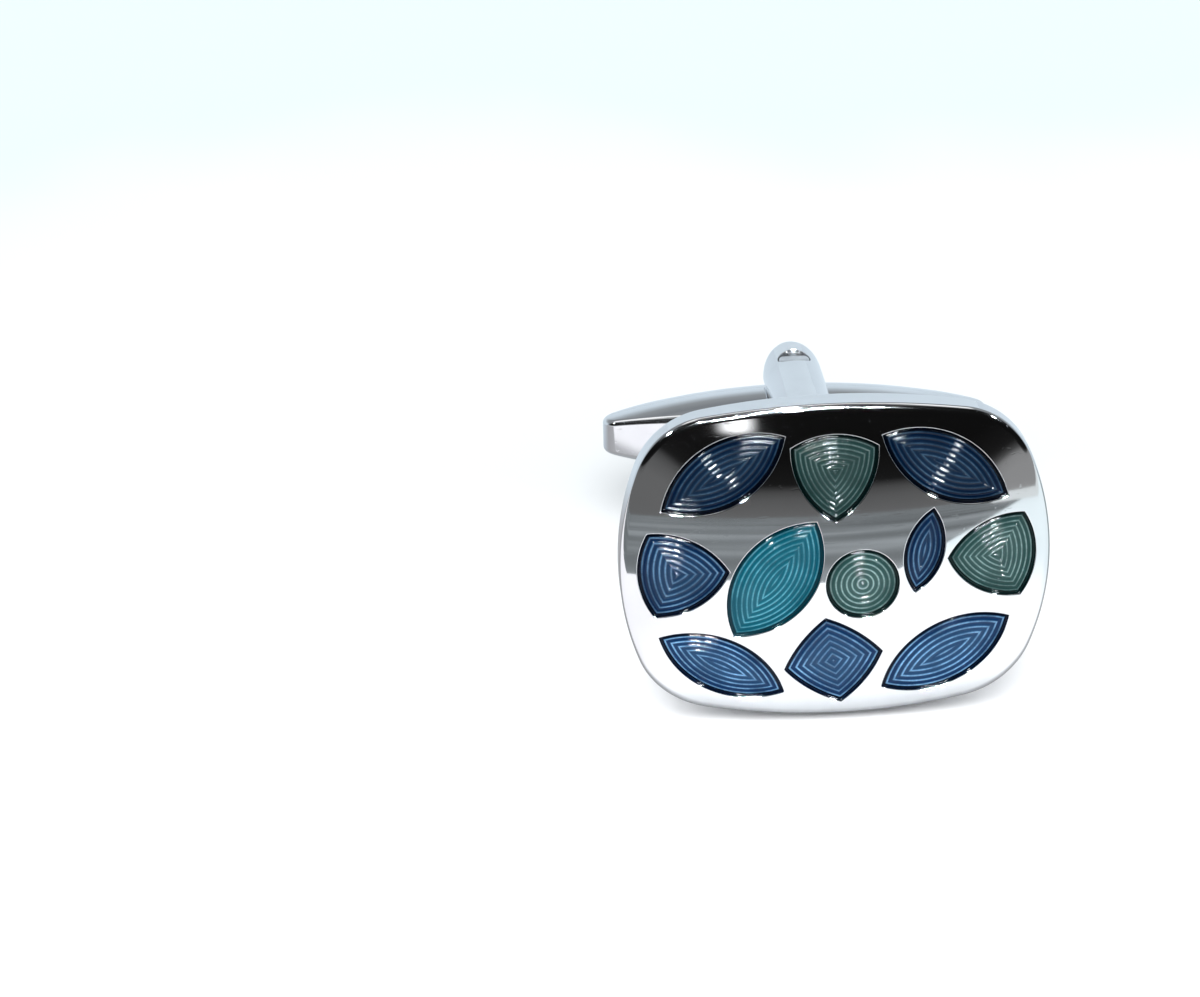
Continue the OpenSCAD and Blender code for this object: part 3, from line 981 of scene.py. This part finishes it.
# Stage: a pale floor, and what the polished metal mirrors

# The head's middle, from which the panels and lamps are placed, the lamps' distance and half the floor's
# side, in metres, and how many sides a lamp has
HEAD_MIDDLE = Vector((0, -0.01, 0.008))
LAMP_REACH, FLOOR_HALF, LAMP_SIDES = 0.7, 3, 24


def glow(name, color, strength, fade=0.0):
    """Plain light. With fade it dies away over that share of the card at each side, and at its foot."""
    material, nodes = blank(name)
    light = nodes.new("ShaderNodeEmission", in_Color=(*color, 1), in_Strength=strength)
    nodes.show(light)
    if fade:
        x, _, z = nodes.split(nodes.coordinate("Generated"))
        share = nodes.math("MULTIPLY", nodes.spread(x, 0.0, fade), nodes.spread(x, 1.0, 1.0 - fade))
        share = nodes.math("MULTIPLY", share, nodes.spread(z, 0.0, fade))
        nodes.link(nodes.math("MULTIPLY", share, strength), light.inputs["Strength"])
    return material


def card(name, points, material, mirrored=True):
    """A staged flat face. A mirrored one shows in reflections only."""
    mesh = bpy.data.meshes.new(name)
    mesh.from_pydata([tuple(p) for p in points], [], [tuple(range(len(points)))])
    mesh.materials.append(material)
    piece = placed(name, mesh)
    if mirrored:
        for ray in ("camera", "diffuse", "shadow", "transmission", "volume_scatter"):
            setattr(piece, "visible_" + ray, False)


def toward(azimuth, elevation):
    """The direction at an azimuth, from -Y towards +X, and an elevation, in degrees."""
    a, e = radians(azimuth), radians(elevation)
    return Vector((sin(a) * cos(e), -cos(a) * cos(e), sin(e)))


def panel(name, azimuths, elevations, reach, color, strength, fade=0.0):
    """A card that fills a range of azimuths and elevations, as seen from the head."""
    (a0, a1), (e0, e1) = azimuths, elevations
    corners = [toward(a, e) * reach + HEAD_MIDDLE for a, e in ((a0, e0), (a1, e0), (a1, e1), (a0, e1))]
    card(name, corners, glow(name, color, strength, fade))


def lamp(name, azimuth, elevation, width, strength):
    """A small round lamp of a width in degrees."""
    way = toward(azimuth, elevation)
    side = way.cross(Vector((0, 0, 1))).normalized()
    over = side.cross(way)
    r = LAMP_REACH * tan(radians(width / 2))
    turn = [2 * pi * k / LAMP_SIDES for k in range(LAMP_SIDES)]
    rim = [way * LAMP_REACH + HEAD_MIDDLE + (side * cos(t) + over * sin(t)) * r for t in turn]
    card(name, rim, glow(name, (0.88, 0.95, 1), strength))


def paper_material():
    """White paper, with painted falloff of light for the camera and painted shade where the metal mirrors
    it.
    """
    material, nodes, shader, where = new_material("paper", in_Roughness=0.75, in_Specular_IOR_Level=0.15)
    x, y, _ = nodes.split(where)
    # The distance back, made uneven, at which the painted falloff of light begins
    painted_falloff_y = nodes.math("ADD", y, nodes.math("MULTIPLY", nodes.noise(where, 16.0, 3.0), 0.06))

    def shaded(color, shades):
        """Lays shades over a colour: along what, where each starts and is full, its share and its colour."""
        for along, start, full, share, shade in shades:
            color = nodes.mix(nodes.spread(along, start, full, 0.0, share), color, shade)
        return color

    seen = nodes.mix(nodes.noise(where, 40.0, 4.0), (0.93, 0.935, 0.94), (0.95, 0.95, 0.95))
    # Painted falloff of light: dimmer to the right and behind the part, and cyan far off along an uneven
    # edge
    seen_shades = [
        (x, 0.012, 0.03, 1.0, (0.68, 0.7, 0.71)),
        (y, -0.012, 0.012, 1.0, (0.61, 0.63, 0.635)),
        (painted_falloff_y, 0.068, 0.084, 1.0, (0.535, 0.64, 0.645)),
    ]
    # Painted reflection: the mirrored paper is painted darker at the left, the right and behind the part
    mirrored_shades = [
        (x, -0.007, -0.013, 1.0, (0.77, 0.75, 0.765)),
        (x, 0.012, 0.03, 1.0, (0.66, 0.73, 0.74)),
        # Painted contact shadow just in front of the head
        (y, -0.0135, -0.0106, 0.65, (0.0, 0.0, 0.0)),
        (y, 0.004, 0.018, 1.0, (0.47, 0.535, 0.585)),
    ]
    seen, mirrored = shaded(seen, seen_shades), shaded((0.92, 0.925, 0.93), mirrored_shades)
    glossy = nodes.new("ShaderNodeLightPath").outputs["Is Glossy Ray"]
    nodes.link(nodes.mix(glossy, seen, mirrored), shader.inputs["Base Color"])
    return material


def table_material():
    """The bare table, as light of its own: streaked, and dimmer further from the part."""
    material, nodes = blank("bare_table")
    where = nodes.coordinate()
    _, y, _ = nodes.split(where)
    away = nodes.spread(nodes.math("MULTIPLY", y, -1.0), 0.04, 0.25, 0.43, 0.29)
    patch = nodes.spread(nodes.streaks(where, (5.0, 22.0, 1.0)), 0.35, 0.65, 0.55, 1.25)
    light = nodes.new("ShaderNodeEmission", in_Color=(0.92, 1.0, 1.04, 1))
    nodes.link(nodes.math("MULTIPLY", away, patch), light.inputs["Strength"])
    nodes.show(light)
    return material


corners = [(x * FLOOR_HALF, y * FLOOR_HALF, 0) for x, y in ((-1, -1), (1, -1), (1, 1), (-1, 1))]
card("floor", corners, paper_material(), mirrored=False)

# The table beyond the paper's edge, towards the camera, in millimetres, and its height in metres
TABLE_EDGE = [(-3000, -48), (-10, -42), (7, -38), (1700, -3000), (-3000, -3000)]
TABLE_Z = 0.0006
card("bare_table", [(x * MM, y * MM, TABLE_Z) for x, y in TABLE_EDGE], table_material())

# Panels: azimuths and elevations in degrees, distance in metres, colour and strength
panel("right_wall", (25, 75), (-1, 1), 0.5, (0.94, 0.99, 1.0), 1.0)
panel("window", (-9.3, -3), (16, 19.5), 0.6, (1, 1, 1), 2.4, 0.48)

# Lamps: azimuth, elevation and width in degrees, and strength
LAMPS = [
    (-9, 44, 3.5, 1500),
    (9, 53, 3.5, 1500),
    (0, 66, 2, 1700),
    (2, 76, 2, 1700),
    (4, 86, 2, 1700),
    (62, 40, 4, 800),
    (-60, 46, 4, 800),
    (-17, 49, 1.5, 2000),
    (2, 45, 1.5, 2000),
    (16, 47, 1.5, 2000),
    (-5, 58, 1.5, 2000),
]
for k, row in enumerate(LAMPS):
    lamp(f"lamp_{k}", *row)

# Light

sun = placed("key", bpy.data.lights.new("key", "SUN"))
sun.data.energy = 2.3
sun.data.angle = radians(60)
sun.rotation_euler = Vector((-0.15, -0.3, 1)).to_track_quat("Z", "Y").to_euler()
sun.visible_glossy = False

# What is mirrored of the room, by the sine of the elevation. The dark room is on the camera's side, where
# the strip over the table is brighter at the right, and the bright one is behind the part.
TABLE_STRIP = [(0.0, 0.17), (0.055, 0.13), (0.08, 0.09), (0.105, 0.012)]
RIGHT_STRIP = [(0.0, 0.36), (0.04, 0.32), (0.06, 0.08), (0.085, 0.012)]
DARK_ROOM = [(0.2, 0.006), (0.86, 0.008), (0.97, 0.08), (1.0, 0.15)]
BRIGHT_ROOM = [
    (0.0, (0.83, 0.95, 1.04)),
    (0.22, (0.8, 0.91, 1.0)),
    (0.5, (0.38, 0.41, 0.43)),
    (0.72, (0.28, 0.3, 0.32)),
    (0.87, (0.38, 0.4, 0.42)),
    (0.9, 1.5),
    (0.95, 1.5),
    (0.975, (0.2, 0.22, 0.23)),
    (1.0, 0.15),
]
# What the camera sees beyond the floor, and the light that falls on what is dull
BACKDROP, SOFT_LIGHT = (0.95, 1.0, 1.0), (0.95, 0.97, 1.0)


def make_world():
    """The surroundings: one light for what is dull, another view for what is mirrored."""
    world = bpy.data.worlds.new("studio")
    bpy.context.scene.world = world
    world.use_nodes = True
    nodes = Nodes(world.node_tree)
    x, y, z = nodes.split(nodes.coordinate("Generated"))
    # The strip over the table is higher at the left and at the right
    lift = nodes.math("ADD", nodes.spread(x, -0.12, -0.3, 0.0, 0.15), nodes.spread(x, 0.36, 0.48, 0.0, 0.09))
    height = nodes.math("SUBTRACT", z, lift)
    near = nodes.ramp(height, TABLE_STRIP + DARK_ROOM)
    near = nodes.mix(nodes.spread(x, 0.3, 0.46), near, nodes.ramp(height, RIGHT_STRIP + DARK_ROOM))
    around = nodes.mix(nodes.spread(y, -0.3, 0.15), near, nodes.ramp(z, BRIGHT_ROOM))
    ray = nodes.new("ShaderNodeLightPath").outputs
    lit = nodes.mix(ray["Is Diffuse Ray"], around, SOFT_LIGHT)
    back = nodes.new("ShaderNodeBackground", in_Strength=1.0)
    nodes.link(nodes.mix(ray["Is Camera Ray"], lit, BACKDROP), back.inputs["Color"])
    nodes.show(back, "ShaderNodeOutputWorld")


make_world()
bpy.context.scene.view_settings.view_transform = "Standard"
